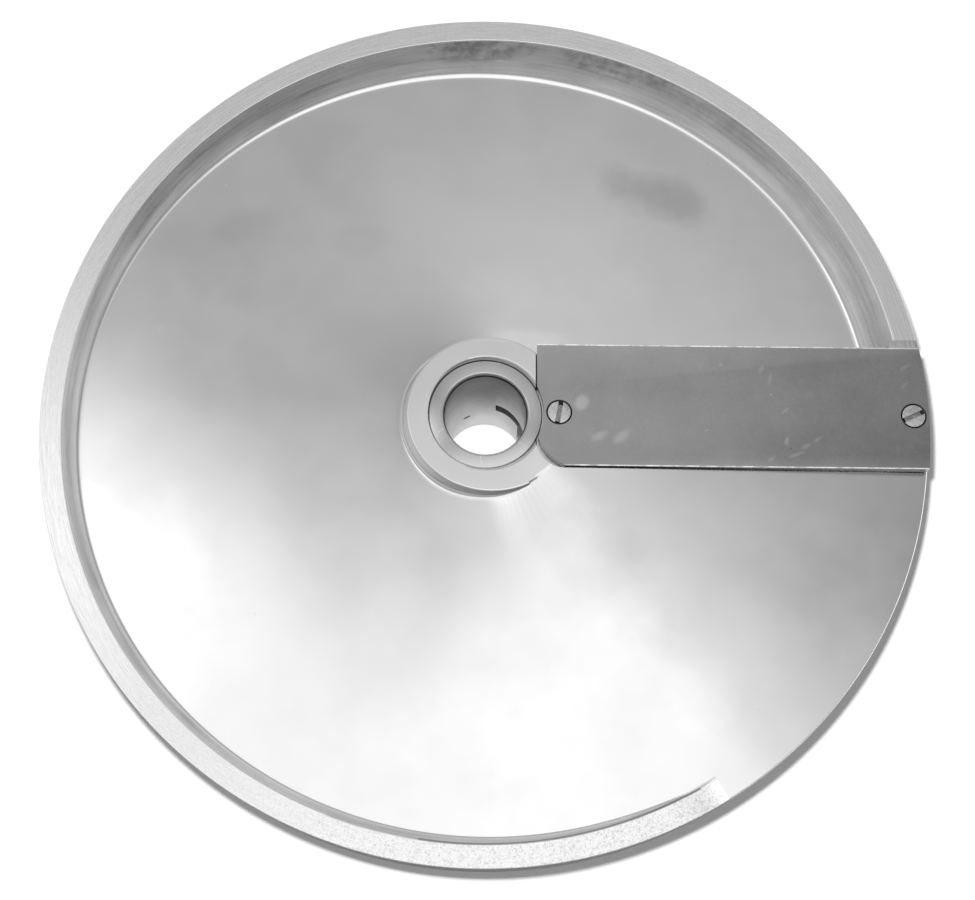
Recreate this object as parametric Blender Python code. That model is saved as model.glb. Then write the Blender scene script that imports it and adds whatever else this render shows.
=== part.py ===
"""Slicing disc for a bench vegetable cutter.

A cast disc with one flat blade. The plate is a shallow helical ramp: it leaves the level
of the rim a sixth of a turn behind the blade and comes back to the blade a slice lower.
The blade bridges the slot there, from a hub boss to the rim, held by two countersunk
screws. A steel bush in the hub takes the drive shaft.

Metres, +Z up. The bore is on the Z axis, the hub stands on z = 0 and the blade lies
along +X with its cutting edge towards +Y. A turn is in degrees from +X, clockwise
seen from above.
"""

import math

import bmesh
import bpy
from mathutils import Vector

MM = 0.001
FULL_TURN = 360.0

# Steel bush
BORE_RADIUS = 9.5 * MM
BUSH_WALL = 3.6 * MM
BUSH_RADIUS = BORE_RADIUS + BUSH_WALL
BUSH_RECESS = 1.25 * MM
BUSH_CHAMFER = 0.6 * MM
BUSH_EDGE = 0.2 * MM
BAYONET_DEPTH = 2.0 * MM
BAYONET_ENTRY_TURN = -32.0
BAYONET_ENTRY_SWEEP = 18.0
BAYONET_RUN_SWEEP = 60.0
BAYONET_RUN_HEIGHT = 4.2 * MM
BAYONET_RUN_TOP = 17.0 * MM
BAYONET_STEP = 6.0

# Blade
BLADE_TOP = 0.7 * MM
BLADE_THICKNESS = 2.2 * MM
BLADE_LEAD = 16.7 * MM
BLADE_TRAIL = 12.8 * MM
BLADE_BUSH_OVERLAP = 1.2 * MM
BLADE_INNER_END = BUSH_RADIUS - BLADE_BUSH_OVERLAP
BLADE_BUSH_GAP = 0.35 * MM
BLADE_CORNER_START = 6.0 * MM
BLADE_CORNER_LENGTH = 6.5 * MM
BLADE_CORNER_RADIUS = 11.0 * MM
BLADE_OUTER_BACK = 0.1 * MM
CUTTING_BEVEL_WIDTH = 5.0 * MM
CUTTING_EDGE_HEIGHT = 0.3 * MM

# Disc casting
DISC_RADIUS = 102.5 * MM
RIM_WIDTH = 5.4 * MM
EDGE_BREAK = 0.3 * MM
FOOT_BREAK = 0.9 * MM
FOOT_BREAK_SHARE = 0.4
PLATE_THICKNESS = 3.2 * MM
WALL_SLOPE = 1.15
LEAST_WALL_WIDTH = 0.8 * MM
COVE_POWER = 1.35
COVE_SHARES = (0.0, 0.3, 0.6, 0.85)
SKIRT_FILLET = 1.5 * MM
SKIRT_DROP = 0.2 * MM

# The ramp: how far the plate lies under the rim plane from each turn on
SLICE_DEPTH = 7.6 * MM
RAMP = (
    (59.0, 0.0 * MM),
    (75.0, 1.2 * MM),
    (100.0, 1.7 * MM),
    (180.0, 3.6 * MM),
    (290.0, SLICE_DEPTH),
)
RAMP_START_SLOPE = 1.5
RAMP_STEP = 5.0
RIDGE_TURN = RAMP[0][0]
SECTOR_STEP = 6.0
SECTOR_FALL = 0.0255
STEP_TURN = 0.4
RIM_HEIGHT = SLICE_DEPTH + PLATE_THICKNESS + SKIRT_DROP

# Hub
HUB_HEIGHT = 38.5 * MM
SEAT_FLARE = 0.5 * MM
BOSS_WALL = 5.5 * MM
BOSS_RADIUS = BUSH_RADIUS + BOSS_WALL
BOSS_DRAFT = 1.1 * MM
BOSS_FULL_DEPTH = 1.8 * MM
BOSS_LEAST_SHARE = 0.2
CORE_SHIFT = 0.45 * MM
HUB_WALL = 7.4 * MM
HUB_RADIUS = BUSH_RADIUS + HUB_WALL
HUB_TAPER = 3.0 * MM
HUB_FILLET = 2.5 * MM
HUB_END_BREAK = 0.6 * MM

# Blade seat and slicing slot
POCKET_CORNER = 6.7 * MM
NOTCH_CLEARANCE = 2.2 * MM
NOTCH_EDGE = BLADE_LEAD + NOTCH_CLEARANCE
SLOT_CLEARANCE = 1.3 * MM
SLOT_PLATE_EDGE = BLADE_LEAD + SLOT_CLEARANCE
BLADE_OVERHANG = 12.7 * MM
SLOT_BED_EDGE = BLADE_LEAD - BLADE_OVERHANG
BED_UNDERCUT = 1.0
SLOT_HUB_MARGIN = 2.0 * MM
SLOT_RIM_MARGIN = 11.5 * MM
PAD_INSET = 1.4 * MM
PAD_RISE = 0.5 * MM
PAD_LENGTH = 14.5 * MM

# Blade screws
SCREW_HEAD_RADIUS = 2.7 * MM
SCREW_SHANK_RADIUS = 1.5 * MM
SCREW_HEAD_HEIGHT = 1.35 * MM
SCREW_SINK = 0.05 * MM
SCREW_LENGTH = 9.5 * MM
SCREW_SLOT_WIDTH = 1.1 * MM
SCREW_SLOT_DEPTH = 0.8 * MM
INNER_SCREW_OFFSET = 3.9 * MM
INNER_SCREW_RADIUS = BUSH_RADIUS + INNER_SCREW_OFFSET
OUTER_SCREW_INSET = 3.7 * MM
OUTER_SCREW_RADIUS = DISC_RADIUS - OUTER_SCREW_INSET
INNER_SCREW_SLOT_ANGLE = 80.0
OUTER_SCREW_SLOT_ANGLE = 25.0

# Fits
GAP = 0.3 * MM
ROUND_STEPS = 48
SCREW_STEPS = 24
CORNER_STEPS = 8
CUTTER_REACH = 5.0 * MM
SHARP_ANGLE = 30.0


def clear_scene():
    for obj in list(bpy.data.objects):
        bpy.data.objects.remove(obj, do_unlink=True)


def make_material(name, colour, roughness, metallic=1.0):
    material = bpy.data.materials.new(name)
    material.use_nodes = True
    shader = material.node_tree.nodes["Principled BSDF"]
    shader.inputs["Base Color"].default_value = (*colour, 1.0)
    shader.inputs["Roughness"].default_value = roughness
    shader.inputs["Metallic"].default_value = metallic
    material.diffuse_color = (*colour, 1.0)
    return material


def add_object(name, bm, material=None):
    """A named object from this bmesh, with its normals pointing out."""
    bmesh.ops.recalc_face_normals(bm, faces=bm.faces)
    mesh = bpy.data.meshes.new(name)
    bm.to_mesh(mesh)
    bm.free()
    if material:
        mesh.materials.append(material)
    mesh.shade_smooth()
    mesh.set_sharp_from_angle(angle=math.radians(SHARP_ANGLE))
    obj = bpy.data.objects.new(name, mesh)
    bpy.context.scene.collection.objects.link(obj)
    return obj


def cut(target, cutter):
    """Takes the cutter's volume out of the target, and keeps the new edges sharp."""
    cutter.hide_render = True
    cutter.display_type = "WIRE"
    modifier = target.modifiers.new(cutter.name, "BOOLEAN")
    modifier.operation = "DIFFERENCE"
    modifier.solver = "EXACT"
    modifier.object = cutter
    graph = bpy.context.evaluated_depsgraph_get()
    machined = bpy.data.meshes.new_from_object(target.evaluated_get(graph))
    machined.set_sharp_from_angle(angle=math.radians(SHARP_ANGLE))
    target.modifiers.clear()
    target.data = machined


def turned(profile, steps, centre=(0.0, 0.0)):
    """A bmesh of this (radius, z) profile spun about an upright axis."""
    bm = bmesh.new()
    verts = [bm.verts.new((radius, 0.0, z)) for radius, z in profile]
    closed = profile[0][0] > 0.0
    pairs = list(zip(verts, verts[1:]))
    if closed:
        pairs.append((verts[-1], verts[0]))
    edges = [bm.edges.new(pair) for pair in pairs]
    bmesh.ops.spin(
        bm,
        geom=verts + edges,
        axis=(0.0, 0.0, 1.0),
        cent=(0.0, 0.0, 0.0),
        angle=math.tau,
        steps=steps,
        use_merge=True,
    )
    bmesh.ops.remove_doubles(bm, verts=bm.verts, dist=1e-6)
    bmesh.ops.translate(bm, verts=bm.verts, vec=(*centre, 0.0))
    return bm


def prism(outline, direction):
    """A bmesh of this closed outline of points, extruded along a direction."""
    bm = bmesh.new()
    face = bm.faces.new([bm.verts.new(point) for point in outline])
    lifted = bmesh.ops.extrude_face_region(bm, geom=[face])
    verts = [item for item in lifted["geom"] if isinstance(item, bmesh.types.BMVert)]
    bmesh.ops.translate(bm, verts=verts, vec=direction)
    return bm


def arc(centre, radius, start, end, steps):
    """Points of an arc in plan, with its angles in degrees anticlockwise from +X."""
    points = []
    for i in range(steps + 1):
        angle = math.radians(start + (end - start) * i / steps)
        points.append((centre[0] + radius * math.cos(angle), centre[1] + radius * math.sin(angle)))
    return points


def arc_between(start, end, radius, steps):
    """Points of the arc of this radius from start to end, bulging to the right of that way."""
    chord = Vector(end) - Vector(start)
    rise = math.sqrt(radius**2 - chord.length_squared / 4)
    centre = (Vector(start) + Vector(end)) / 2 + Vector((-chord.y, chord.x)).normalized() * rise
    first = math.degrees(math.atan2(start[1] - centre.y, start[0] - centre.x))
    sweep = math.degrees(2 * math.asin(chord.length / 2 / radius))
    return arc(centre, radius, first, first + sweep, steps)


def eased(values, turn):
    """A smooth reading between the (turn, value) points, level at both ends."""
    turns = [point[0] for point in values]
    heights = [point[1] for point in values]
    spans = [after - before for before, after in zip(turns, turns[1:])]
    chords = [(heights[i + 1] - heights[i]) / spans[i] for i in range(len(spans))]
    slopes = [chords[0] * RAMP_START_SLOPE]
    for i in range(1, len(spans)):
        product = chords[i - 1] * chords[i]
        total = chords[i - 1] + chords[i]
        slopes.append(2.0 * product / total if product > 0.0 else 0.0)
    slopes.append(0.0)
    for i, span in enumerate(spans):
        if turn <= turns[i + 1]:
            t = max(0.0, turn - turns[i]) / span
            return (
                heights[i] * (1 + 2 * t) * (1 - t) ** 2
                + slopes[i] * span * t * (1 - t) ** 2
                + heights[i + 1] * t * t * (3 - 2 * t)
                + slopes[i + 1] * span * t * t * (t - 1)
            )
    return heights[-1]


def pad_turn():
    """Where the thick pad under the blade's outer end stops, hidden by the blade."""
    return math.degrees(math.asin((BLADE_TRAIL - PAD_INSET) / DISC_RADIUS))


def sector_level(radius, turn):
    """Height under the rim plane of the flat sector that follows the blade's back edge."""
    outer = -SECTOR_FALL * DISC_RADIUS * math.sin(math.radians(RIDGE_TURN - turn))
    return outer * (radius - BOSS_RADIUS) / (DISC_RADIUS - BOSS_RADIUS)


def section(turn):
    """The casting's cut face at this turn, as (radius, height over the rim plane) points."""
    ramp = turn >= RIDGE_TURN
    depth = eased(RAMP, turn) if ramp else 0.0
    wall_top = DISC_RADIUS - RIM_WIDTH
    wall_width = max(depth / WALL_SLOPE, LEAST_WALL_WIDTH)
    wall_foot = wall_top - wall_width
    edge_drop = min(EDGE_BREAK, depth)
    seat = BUSH_RADIUS + GAP
    shift = CORE_SHIFT * math.cos(math.radians(turn))
    boss_foot = BOSS_RADIUS + BOSS_DRAFT + shift
    boss_edge = boss_foot - BOSS_DRAFT * max(BOSS_LEAST_SHARE, min(1.0, depth / BOSS_FULL_DEPTH))
    boss_step = boss_foot - (boss_foot - boss_edge) / 2

    radii = [boss_edge, boss_step, boss_foot]
    radii += [wall_foot + share * wall_width for share in COVE_SHARES]
    radii += [wall_top, wall_top + EDGE_BREAK, DISC_RADIUS - EDGE_BREAK]
    if ramp:
        levels = [0.0, min(FOOT_BREAK, FOOT_BREAK_SHARE * depth) - depth, -depth]
        levels += [(depth - edge_drop) * share**COVE_POWER - depth for share in COVE_SHARES]
        levels += [-edge_drop, 0.0, 0.0]
        inner_floor = outer_floor = -depth
    else:
        pad = turn < pad_turn()
        pad_level = BLADE_TOP - BLADE_THICKNESS - GAP + PAD_RISE
        levels = [
            pad_level if pad and radius > DISC_RADIUS - PAD_LENGTH else sector_level(radius, turn)
            for radius in radii
        ]
        levels[0] = 0.0
        inner_floor = sector_level(HUB_RADIUS, turn)
        outer_floor = sector_level(wall_top, turn)
    edge_level = levels[-1]
    hub_under = inner_floor - PLATE_THICKNESS
    skirt_under = outer_floor - PLATE_THICKNESS

    points = [(seat, -HUB_HEIGHT), (seat, -BUSH_RECESS), (seat + SEAT_FLARE + shift, 0.0)]
    points += list(zip(radii, levels))
    points += [
        (DISC_RADIUS, edge_level - EDGE_BREAK),
        (DISC_RADIUS, EDGE_BREAK - RIM_HEIGHT),
        (DISC_RADIUS - EDGE_BREAK, -RIM_HEIGHT),
        (wall_top + EDGE_BREAK, -RIM_HEIGHT),
        (wall_top, max(skirt_under - SKIRT_FILLET, EDGE_BREAK / 2 - RIM_HEIGHT)),
        (wall_top - SKIRT_FILLET, skirt_under),
        (HUB_RADIUS + HUB_FILLET, hub_under),
        (HUB_RADIUS, hub_under - HUB_FILLET),
        (HUB_RADIUS - HUB_TAPER, HUB_END_BREAK - HUB_HEIGHT),
        (HUB_RADIUS - HUB_TAPER - HUB_END_BREAK, -HUB_HEIGHT),
    ]
    return points


def spread(start, end, step):
    """Turns from start to end, evenly, no further apart than the step."""
    count = math.ceil((end - start) / step)
    return [start + (end - start) * i / count for i in range(count + 1)]


def casting_bmesh():
    """The cast disc before machining: its sections joined round the axis."""
    ramp_end = FULL_TURN - math.degrees(math.asin(NOTCH_EDGE / DISC_RADIUS))
    sector_start = ramp_end + STEP_TURN - FULL_TURN
    turns = spread(sector_start, pad_turn() - STEP_TURN, SECTOR_STEP)
    turns += spread(pad_turn(), RIDGE_TURN - STEP_TURN, SECTOR_STEP)
    turns += spread(RIDGE_TURN, ramp_end, RAMP_STEP)
    bm = bmesh.new()
    rings = []
    for turn in turns:
        angle = -math.radians(turn)
        rings.append(
            [
                bm.verts.new((radius * math.cos(angle), radius * math.sin(angle), HUB_HEIGHT + level))
                for radius, level in section(turn)
            ]
        )
    for ring, after in zip(rings, rings[1:] + rings[:1]):
        for i in range(len(ring)):
            bm.faces.new((ring[i - 1], ring[i], after[i], after[i - 1]))
    bmesh.ops.triangulate(bm, faces=bm.faces)
    return bm


def blade_outline():
    """The blade in plan, anticlockwise from its inner cutting corner."""
    outer_radius = DISC_RADIUS - BLADE_OUTER_BACK
    bush_side = BUSH_RADIUS + BLADE_BUSH_GAP
    meet = math.degrees(math.acos(BLADE_INNER_END / bush_side))
    corner_start = math.degrees(math.asin(BLADE_CORNER_START / bush_side))
    lead_angle = math.degrees(math.asin(BLADE_LEAD / outer_radius))
    trail_angle = math.degrees(math.asin(-BLADE_TRAIL / outer_radius))
    points = [(BLADE_INNER_END, BLADE_LEAD)]
    points += arc((0.0, 0.0), bush_side, meet, -corner_start, CORNER_STEPS)
    corner_end = (BLADE_INNER_END + BLADE_CORNER_LENGTH, -BLADE_TRAIL)
    points += arc_between(points[-1], corner_end, BLADE_CORNER_RADIUS, CORNER_STEPS)[1:]
    points += arc((0.0, 0.0), outer_radius, trail_angle, lead_angle, CORNER_STEPS)
    return points


def pocket_outline():
    """The blade's seat in plan: it breaks into the bush's seat and runs out through the rim."""
    inner = BLADE_INNER_END - GAP
    trail = -BLADE_TRAIL - GAP
    beyond = DISC_RADIUS + CUTTER_REACH
    corner_centre = (inner + POCKET_CORNER, trail + POCKET_CORNER)
    points = [(inner, NOTCH_EDGE)]
    points += arc(corner_centre, POCKET_CORNER, 180.0, 270.0, CORNER_STEPS)
    points += [(beyond, trail), (beyond, NOTCH_EDGE)]
    return points


def make_casting(material):
    """The aluminium casting, then its machined pocket, slot and screw holes."""
    casting = add_object("disc_casting", casting_bmesh(), material)
    seat_floor = HUB_HEIGHT + BLADE_TOP - BLADE_THICKNESS - GAP

    pocket = prism([(x, y, seat_floor) for x, y in pocket_outline()], (0.0, 0.0, CUTTER_REACH))
    cut(casting, add_object("blade_pocket_cutter", pocket))

    slot_bottom = HUB_HEIGHT - RIM_HEIGHT - CUTTER_REACH
    slot_top = HUB_HEIGHT + CUTTER_REACH
    bed_drop = seat_floor - slot_bottom
    profile = (
        (SLOT_PLATE_EDGE, slot_top),
        (SLOT_PLATE_EDGE, slot_bottom),
        (SLOT_BED_EDGE - BED_UNDERCUT * bed_drop, slot_bottom),
        (SLOT_BED_EDGE, seat_floor),
        (SLOT_BED_EDGE, slot_top),
    )
    inner_end = HUB_RADIUS + SLOT_HUB_MARGIN
    outer_end = DISC_RADIUS - SLOT_RIM_MARGIN
    slot = prism([(inner_end, y, z) for y, z in profile], (outer_end - inner_end, 0.0, 0.0))
    cut(casting, add_object("slicing_slot_cutter", slot))

    hole_end = HUB_HEIGHT + BLADE_TOP - SCREW_LENGTH - GAP
    for name, radius in (("inner", INNER_SCREW_RADIUS), ("outer", OUTER_SCREW_RADIUS)):
        hole_radius = SCREW_SHANK_RADIUS + GAP
        hole = turned(
            ((0.0, slot_top), (hole_radius, slot_top), (hole_radius, hole_end), (0.0, hole_end)),
            SCREW_STEPS,
            (radius, 0.0),
        )
        cut(casting, add_object(f"{name}_screw_hole_cutter", hole))
    return casting


def channel_cutter(name, start, end, bottom, top):
    """A cutter for a channel in the bore wall, between these turns and heights."""
    steps = math.ceil((end - start) / BAYONET_STEP)
    outer = arc((0.0, 0.0), BORE_RADIUS + BAYONET_DEPTH, -end, -start, steps)
    inner = arc((0.0, 0.0), BORE_RADIUS - BAYONET_DEPTH, -start, -end, steps)
    outline = [(x, y, bottom) for x, y in outer + inner]
    return add_object(name, prism(outline, (0.0, 0.0, top - bottom)))


def make_bush(material):
    """The turned steel bush pressed into the hub.

    Each bayonet channel in its bore has an upright entry from below and a run to the lock.
    """
    top = HUB_HEIGHT - BUSH_RECESS
    profile = (
        (BORE_RADIUS, BUSH_CHAMFER),
        (BORE_RADIUS + BUSH_CHAMFER, 0.0),
        (BUSH_RADIUS - BUSH_EDGE, 0.0),
        (BUSH_RADIUS, BUSH_EDGE),
        (BUSH_RADIUS, top - BUSH_EDGE),
        (BUSH_RADIUS - BUSH_EDGE, top),
        (BORE_RADIUS + BUSH_CHAMFER, top),
        (BORE_RADIUS, top - 2 * BUSH_CHAMFER),
    )
    bush = add_object("hub_bush", turned(profile, ROUND_STEPS), material)
    run_bottom = BAYONET_RUN_TOP - BAYONET_RUN_HEIGHT
    for side, side_turn in (("front", 0.0), ("back", FULL_TURN / 2)):
        entry_start = side_turn + BAYONET_ENTRY_TURN
        entry_end = entry_start + BAYONET_ENTRY_SWEEP
        run_start = entry_end - BAYONET_RUN_SWEEP
        run = channel_cutter(f"{side}_run_cutter", run_start, entry_end, run_bottom, BAYONET_RUN_TOP)
        cut(bush, run)
        entry = channel_cutter(f"{side}_entry_cutter", entry_start, entry_end, -CUTTER_REACH, run_bottom)
        cut(bush, entry)
    return bush


def make_blade(material):
    """The flat ground blade, bevelled under its cutting edge, with two countersunk holes."""
    top = HUB_HEIGHT + BLADE_TOP
    bottom = top - BLADE_THICKNESS
    plate = prism([(x, y, bottom) for x, y in blade_outline()], (0.0, 0.0, BLADE_THICKNESS))
    blade = add_object("slicing_blade", plate, material)

    bevel_start = BLADE_LEAD - CUTTING_BEVEL_WIDTH
    slope = (BLADE_THICKNESS - CUTTING_EDGE_HEIGHT) / CUTTING_BEVEL_WIDTH
    far = BLADE_LEAD + CUTTER_REACH
    wedge = (
        (bevel_start, bottom),
        (far, bottom + slope * (far - bevel_start)),
        (far, bottom - CUTTER_REACH),
        (bevel_start, bottom - CUTTER_REACH),
    )
    bevel = prism([(0.0, y, z) for y, z in wedge], (DISC_RADIUS + CUTTER_REACH, 0.0, 0.0))
    cut(blade, add_object("cutting_bevel_cutter", bevel))

    for name, radius in (("inner", INNER_SCREW_RADIUS), ("outer", OUTER_SCREW_RADIUS)):
        shank = SCREW_SHANK_RADIUS + GAP
        head = SCREW_HEAD_RADIUS + GAP
        sink = top - SCREW_HEAD_HEIGHT - SCREW_SINK
        hole = turned(
            (
                (0.0, top + CUTTER_REACH),
                (head, top + CUTTER_REACH),
                (head, top - SCREW_SINK),
                (shank, sink),
                (shank, bottom - CUTTER_REACH),
                (0.0, bottom - CUTTER_REACH),
            ),
            SCREW_STEPS,
            (radius, 0.0),
        )
        cut(blade, add_object(f"{name}_countersink_cutter", hole))
    return blade


def make_screw(name, radius, slot_angle, material):
    """A slotted countersunk screw, flush with the blade, with its thread left plain."""
    top = HUB_HEIGHT + BLADE_TOP - SCREW_SINK
    end = HUB_HEIGHT + BLADE_TOP - SCREW_LENGTH
    profile = (
        (0.0, top),
        (SCREW_HEAD_RADIUS - EDGE_BREAK / 2, top),
        (SCREW_HEAD_RADIUS, top - EDGE_BREAK / 2),
        (SCREW_SHANK_RADIUS, top - SCREW_HEAD_HEIGHT),
        (SCREW_SHANK_RADIUS, end + EDGE_BREAK),
        (SCREW_SHANK_RADIUS - EDGE_BREAK, end),
        (0.0, end),
    )
    screw = add_object(name, turned(profile, SCREW_STEPS, (radius, 0.0)), material)
    along = Vector((math.cos(math.radians(slot_angle)), math.sin(math.radians(slot_angle)), 0.0))
    across = Vector((-along.y, along.x, 0.0)) * SCREW_SLOT_WIDTH / 2
    half = along * 2 * SCREW_HEAD_RADIUS
    centre = Vector((radius, 0.0, top - SCREW_SLOT_DEPTH))
    near, far = centre - half, centre + half
    corners = (near - across, far - across, far + across, near + across)
    driver_slot = prism(corners, (0.0, 0.0, CUTTER_REACH))
    cut(screw, add_object(f"{name}_slot_cutter", driver_slot))
    return screw


clear_scene()
cast_aluminium = make_material("cast aluminium", (0.75, 0.75, 0.76), 0.3)
blade_steel = make_material("blade steel", (0.33, 0.33, 0.34), 0.35)
bush_steel = make_material("turned steel", (0.55, 0.55, 0.56), 0.25)
screw_steel = make_material("screw steel", (0.5, 0.5, 0.5), 0.35)
make_casting(cast_aluminium)
make_bush(bush_steel)
make_blade(blade_steel)
make_screw("inner_blade_screw", INNER_SCREW_RADIUS, INNER_SCREW_SLOT_ANGLE, screw_steel)
make_screw("outer_blade_screw", OUTER_SCREW_RADIUS, OUTER_SCREW_SLOT_ANGLE, screw_steel)
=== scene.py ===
import math

import bmesh
import bpy
from mathutils import Matrix, Vector


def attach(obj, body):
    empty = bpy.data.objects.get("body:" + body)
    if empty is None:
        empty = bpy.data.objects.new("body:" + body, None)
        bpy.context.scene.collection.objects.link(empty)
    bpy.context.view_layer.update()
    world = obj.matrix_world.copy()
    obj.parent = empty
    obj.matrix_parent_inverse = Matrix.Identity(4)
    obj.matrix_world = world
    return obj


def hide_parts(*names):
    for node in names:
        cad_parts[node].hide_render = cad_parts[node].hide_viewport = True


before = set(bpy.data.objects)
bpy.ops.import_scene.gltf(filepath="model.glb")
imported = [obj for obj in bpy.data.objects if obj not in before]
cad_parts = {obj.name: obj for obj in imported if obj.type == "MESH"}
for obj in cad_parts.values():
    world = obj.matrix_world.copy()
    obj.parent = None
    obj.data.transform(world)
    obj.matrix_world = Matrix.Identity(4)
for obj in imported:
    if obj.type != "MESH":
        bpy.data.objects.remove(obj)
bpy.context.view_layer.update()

mm = 0.001


# The studio: a camera above and in front of the disc, a pale paper floor, soft panels in
# the room's light, which the metal mirrors, and a small lamp and a fill for matt surfaces.

def add_node(tree, kind, inputs=None, **settings):
    """A new node with these settings, and its inputs set to a value or linked to a socket."""
    made = tree.nodes.new(kind)
    for name, value in settings.items():
        setattr(made, name, value)
    for name, value in (inputs or {}).items():
        if isinstance(value, bpy.types.NodeSocket):
            tree.links.new(value, made.inputs[name])
        else:
            made.inputs[name].default_value = value
    return made


def calculate(tree, operation, *values, clamp=False):
    """The result of one Math node on these values."""
    inputs = dict(enumerate(values))
    return add_node(tree, "ShaderNodeMath", inputs, operation=operation, use_clamp=clamp).outputs[0]


def vector_math(tree, operation, *vectors):
    """One Vector Math node on these vectors."""
    return add_node(tree, "ShaderNodeVectorMath", dict(enumerate(vectors)), operation=operation)


def fade(tree, value, low, high, to_low=0.0, to_high=1.0):
    """A smooth change from to_low at low to to_high at high."""
    inputs = {"Value": value, "From Min": low, "From Max": high, "To Min": to_low, "To Max": to_high}
    return add_node(tree, "ShaderNodeMapRange", inputs, interpolation_type="SMOOTHSTEP").outputs[0]


camera_tilt = math.radians(17.35)
camera_turn = math.radians(-1.31)
camera_roll = math.radians(0.50)
camera_distance = 391.8 * mm
rim_plane = 38.5 * mm
aim = Vector((0.55 * mm, -9.13 * mm, rim_plane))
sensor_width = 36.0
lens_per_sensor = 1710.7 / 975

away = Vector((
    math.sin(camera_tilt) * math.sin(camera_turn),
    -math.sin(camera_tilt) * math.cos(camera_turn),
    math.cos(camera_tilt),
))
right = (-away).cross(Vector((0.0, 1.0, 0.0))).normalized()
upward = right.cross(-away)
rolled_right = math.cos(camera_roll) * right + math.sin(camera_roll) * upward
rolled_up = math.cos(camera_roll) * upward - math.sin(camera_roll) * right
camera_data = bpy.data.cameras.new("camera")
camera_data.sensor_width = sensor_width
camera_data.lens = lens_per_sensor * sensor_width
camera_data.clip_end = 100.0
camera = bpy.data.objects.new("camera", camera_data)
camera_place = Matrix((rolled_right, rolled_up, away)).transposed().to_4x4()
camera_place.translation = aim + away * camera_distance
camera.matrix_world = camera_place
bpy.context.scene.collection.objects.link(camera)
bpy.context.scene.camera = camera
bpy.context.scene.view_settings.view_transform = "Standard"

floor_size = 30.0
gap_under_hub = 0.02 * mm
bm = bmesh.new()
bmesh.ops.create_grid(bm, x_segments=2, y_segments=2, size=floor_size)
floor_mesh = bpy.data.meshes.new("floor")
bm.to_mesh(floor_mesh)
bm.free()
floor = bpy.data.objects.new("floor", floor_mesh)
floor.location.z = -gap_under_hub
bpy.context.scene.collection.objects.link(floor)

paper_tone, paper_glow = 0.93, 0.09
paper = bpy.data.materials.new("studio paper")
paper.use_nodes = True
tree = paper.node_tree
shader = tree.nodes["Principled BSDF"]
shader.inputs["Base Color"].default_value = (paper_tone, paper_tone, paper_tone, 1.0)
shader.inputs["Roughness"].default_value = 0.9
shader.inputs["Specular IOR Level"].default_value = 0.0
shader.inputs["Emission Strength"].default_value = paper_glow
path = add_node(tree, "ShaderNodeLightPath")
seen = calculate(tree, "ADD", path.outputs["Is Camera Ray"], path.outputs["Is Glossy Ray"])
seen = calculate(tree, "ADD", seen, path.outputs["Is Transmission Ray"], clamp=True)
tree.links.new(seen, shader.inputs["Emission Color"])
floor_mesh.materials.append(paper)

lamp_strength = 3.55
lamp_from_camera = Vector((-9.8 * mm, 24.2 * mm, 0.0))
floor_distance = camera_distance + rim_plane
lamp_data = bpy.data.lights.new("shadow lamp", "POINT")
lamp_data.energy = 10.0
lamp_data.shadow_soft_size = 6.0 * mm
lamp_data.use_nodes = True
tree = lamp_data.node_tree
even = add_node(tree, "ShaderNodeLightFalloff", {"Strength": lamp_strength}).outputs["Constant"]
way_long = add_node(tree, "ShaderNodeLightPath").outputs["Ray Length"]
even = calculate(tree, "MULTIPLY", even, calculate(tree, "DIVIDE", way_long, floor_distance))
tree.links.new(even, tree.nodes["Emission"].inputs["Strength"])
shadow_lamp = bpy.data.objects.new("shadow lamp", lamp_data)
shadow_lamp.location = camera_place.translation + lamp_from_camera
shadow_lamp.visible_glossy = False
shadow_lamp.visible_camera = False
bpy.context.scene.collection.objects.link(shadow_lamp)

fill_data = bpy.data.lights.new("soft fill", "SUN")
fill_data.energy = 0.68
fill_data.angle = math.radians(160)
fill = bpy.data.objects.new("soft fill", fill_data)
fill.visible_glossy = False
fill.visible_camera = False
bpy.context.scene.collection.objects.link(fill)

world = bpy.data.worlds.new("studio")
world.use_nodes = True
world.cycles_visibility.diffuse = False
bpy.context.scene.world = world
tree = world.node_tree
background = tree.nodes["Background"]
way = add_node(tree, "ShaderNodeTexCoord").outputs["Generated"]
way_parts = add_node(tree, "ShaderNodeSeparateXYZ", {0: way})


def soft_panel(x, y, inner, outer, strength):
    """The light of a round soft-edged panel overhead, seen in this direction."""
    offset = vector_math(tree, "DISTANCE", flat_way, (x, y, 0.0)).outputs["Value"]
    panel = fade(tree, offset, inner, outer, strength, 0.0)
    return calculate(tree, "MULTIPLY", panel, above)


flat_way = vector_math(tree, "MULTIPLY", way, (1.0, 1.0, 0.0)).outputs[0]
above = calculate(tree, "GREATER_THAN", way_parts.outputs["Z"], 0.0)
walls = fade(tree, way_parts.outputs["Z"], 0.0, 0.42, 0.1, 0.42)
ceiling = fade(tree, way_parts.outputs["Z"], 0.65, 0.88, 0.0, 0.065)
slant = fade(tree, way_parts.outputs["X"], -0.45, 0.45, 0.05, -0.065)
left_wall = fade(tree, way_parts.outputs["X"], -0.95, -0.5, 0.16, 0.0)
left_wall = calculate(tree, "MULTIPLY", left_wall, fade(tree, way_parts.outputs["Y"], -0.9, -0.3))
back_way = vector_math(tree, "DOT_PRODUCT", way, (0.6, 0.8, 0.0)).outputs["Value"]
back_wall = fade(tree, back_way, 0.2, 0.8, 0.0, 0.38)
back_wall = calculate(tree, "MULTIPLY", back_wall, fade(tree, way_parts.outputs["Z"], 0.5, 0.85, 1.0, 0.0))
room = calculate(tree, "SUBTRACT", walls, ceiling)
for part in (slant, left_wall, back_wall):
    room = calculate(tree, "ADD", room, part)
panels = 0.0
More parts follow.
